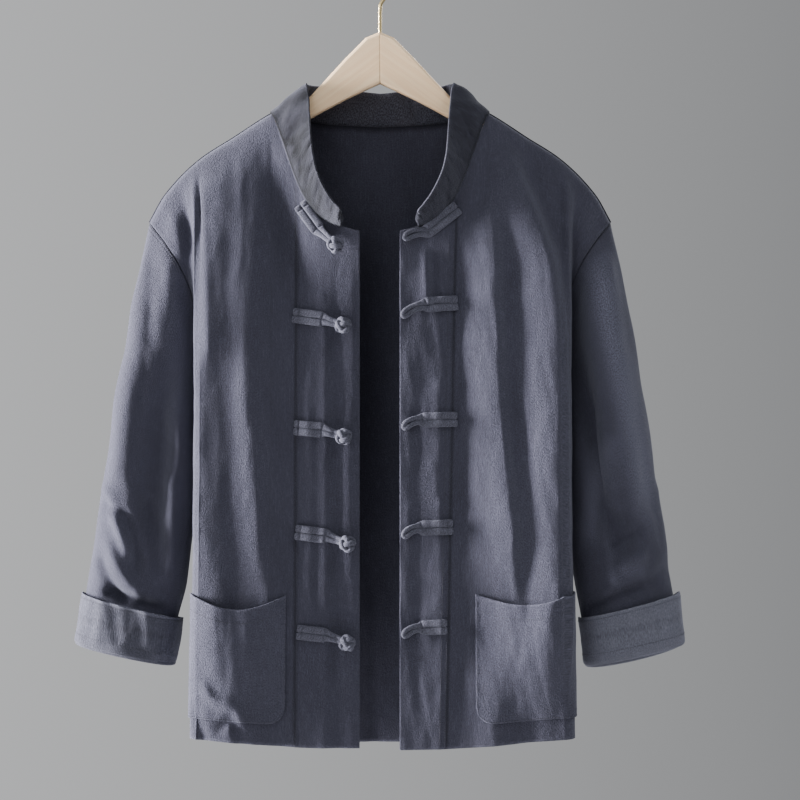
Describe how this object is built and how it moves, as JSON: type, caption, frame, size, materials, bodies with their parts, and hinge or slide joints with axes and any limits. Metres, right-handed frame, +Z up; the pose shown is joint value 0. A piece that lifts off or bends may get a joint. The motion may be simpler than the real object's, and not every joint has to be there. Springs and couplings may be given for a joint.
{
  "type": "chinese frog-button shirt on a wooden hanger",
  "caption": "Unfastened long-sleeved linen shirt with a stand collar, frog fastenings, patch pockets and turned-up cuffs, hanging from a flat wooden hanger with a wire hook.",
  "frame": {"origin": "top of the inside of the hook's crook, where the hanger rests on its rail", "axes": "+Z up; the front faces -Y; +X is the wearer's left"},
  "size_m": [0.6848, 0.1344, 0.8842],
  "materials": {
    "shirt cloth": "washed linen, matt",
    "trim cloth": "washed linen, matt, worn at its edges",
    "frog cord": "rolled strips of the shirt's linen",
    "hanger wood": "clear satin lacquer on pale maple",
    "hook brass": "polished"
  },
  "bodies": {
    "root": {"back": "shirt cloth", "front_right": "shirt cloth", "front_left": "shirt cloth", "sleeve_right": "shirt cloth", "sleeve_left": "shirt cloth", "collar": "trim cloth", "cuff_right": "trim cloth", "cuff_left": "trim cloth", "pocket_right": "shirt cloth", "pocket_left": "shirt cloth", "hanger": "hanger wood", "hook": "hook brass", "knot_strip_1": "frog cord", "knot_1": "frog cord", "loop_strip_1": "frog cord", "loop_1": "frog cord", "knot_strip_2": "frog cord", "knot_2": "frog cord", "loop_strip_2": "frog cord", "loop_2": "frog cord", "knot_strip_3": "frog cord", "knot_3": "frog cord", "loop_strip_3": "frog cord", "loop_3": "frog cord", "knot_strip_4": "frog cord", "knot_4": "frog cord", "loop_strip_4": "frog cord", "loop_4": "frog cord", "knot_strip_5": "frog cord", "knot_5": "frog cord", "loop_strip_5": "frog cord", "loop_5": "frog cord"}
  },
  "joints": []
}
